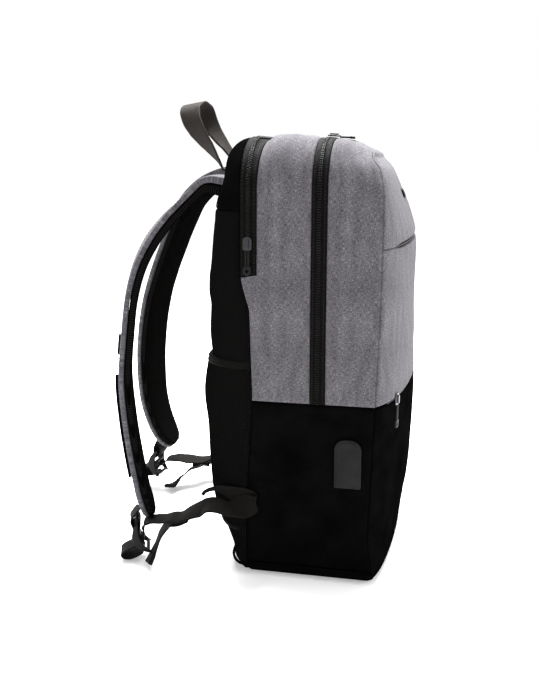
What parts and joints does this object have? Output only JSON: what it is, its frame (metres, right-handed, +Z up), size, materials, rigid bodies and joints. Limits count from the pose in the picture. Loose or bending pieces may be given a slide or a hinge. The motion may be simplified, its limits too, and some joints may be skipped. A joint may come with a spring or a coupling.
{
  "type": "laptop backpack",
  "caption": "Two-tone laptop backpack with a padded back, curved shoulder straps, a top handle and a charging socket flap on its side.",
  "frame": {"origin": "centre of the base on the floor", "axes": "+Z up, -Y out of the front, +Y towards the wearer's back, +X to the wearer's right"},
  "size_m": [0.3526, 0.357, 0.4914],
  "materials": {
    "grey_cloth": "heather weave, matt",
    "black_cloth": "smooth tight weave, slight sheen",
    "mesh": "ribbed spacer mesh, matt",
    "webbing": "ribbed webbing, matt",
    "zip": "moulded coil, satin",
    "plastic": "moulded, satin",
    "rubber": "smooth, matt",
    "metal": "dark, satin"
  },
  "bodies": {
    "root": {"front_top_panel": "grey_cloth", "front_pocket_panel": "grey_cloth", "front_lower_panel": "black_cloth", "front_pocket_zip_tape": "black_cloth", "lower_pocket_zip_tape": "black_cloth", "front_gusset": "grey_cloth", "main_zip_tape": "black_cloth", "rear_gusset": "grey_cloth", "laptop_zip_tape": "black_cloth", "lower_left_side": "black_cloth", "lower_right_side": "black_cloth", "base_panel": "black_cloth", "main_zip_coil": "zip", "laptop_zip_coil": "zip", "back_yoke": "black_cloth", "back_panel": "mesh", "back_pocket": "mesh", "back_pocket_hem": "black_cloth", "back_pocket_binding": "black_cloth", "badge": "rubber", "socket_flap": "rubber", "laptop_zip_slider": "metal", "laptop_zip_pull": "rubber", "main_zip_slider": "metal", "main_zip_pull": "rubber", "lower_pocket_slider": "metal", "lower_pocket_pull": "rubber", "base_piping": "black_cloth", "left_strap_cover": "grey_cloth", "left_strap_pad": "mesh", "left_ladder_lock": "plastic", "left_wing": "webbing", "left_webbing": "webbing", "left_webbing_tail": "webbing", "left_top_webbing": "webbing", "right_strap_cover": "grey_cloth", "right_strap_pad": "mesh", "right_ladder_lock": "plastic", "right_wing": "webbing", "right_webbing": "webbing", "right_webbing_tail": "webbing", "right_top_webbing": "webbing", "strap_pocket": "black_cloth", "strap_pocket_pull": "rubber", "handle": "webbing"}
  },
  "joints": []
}
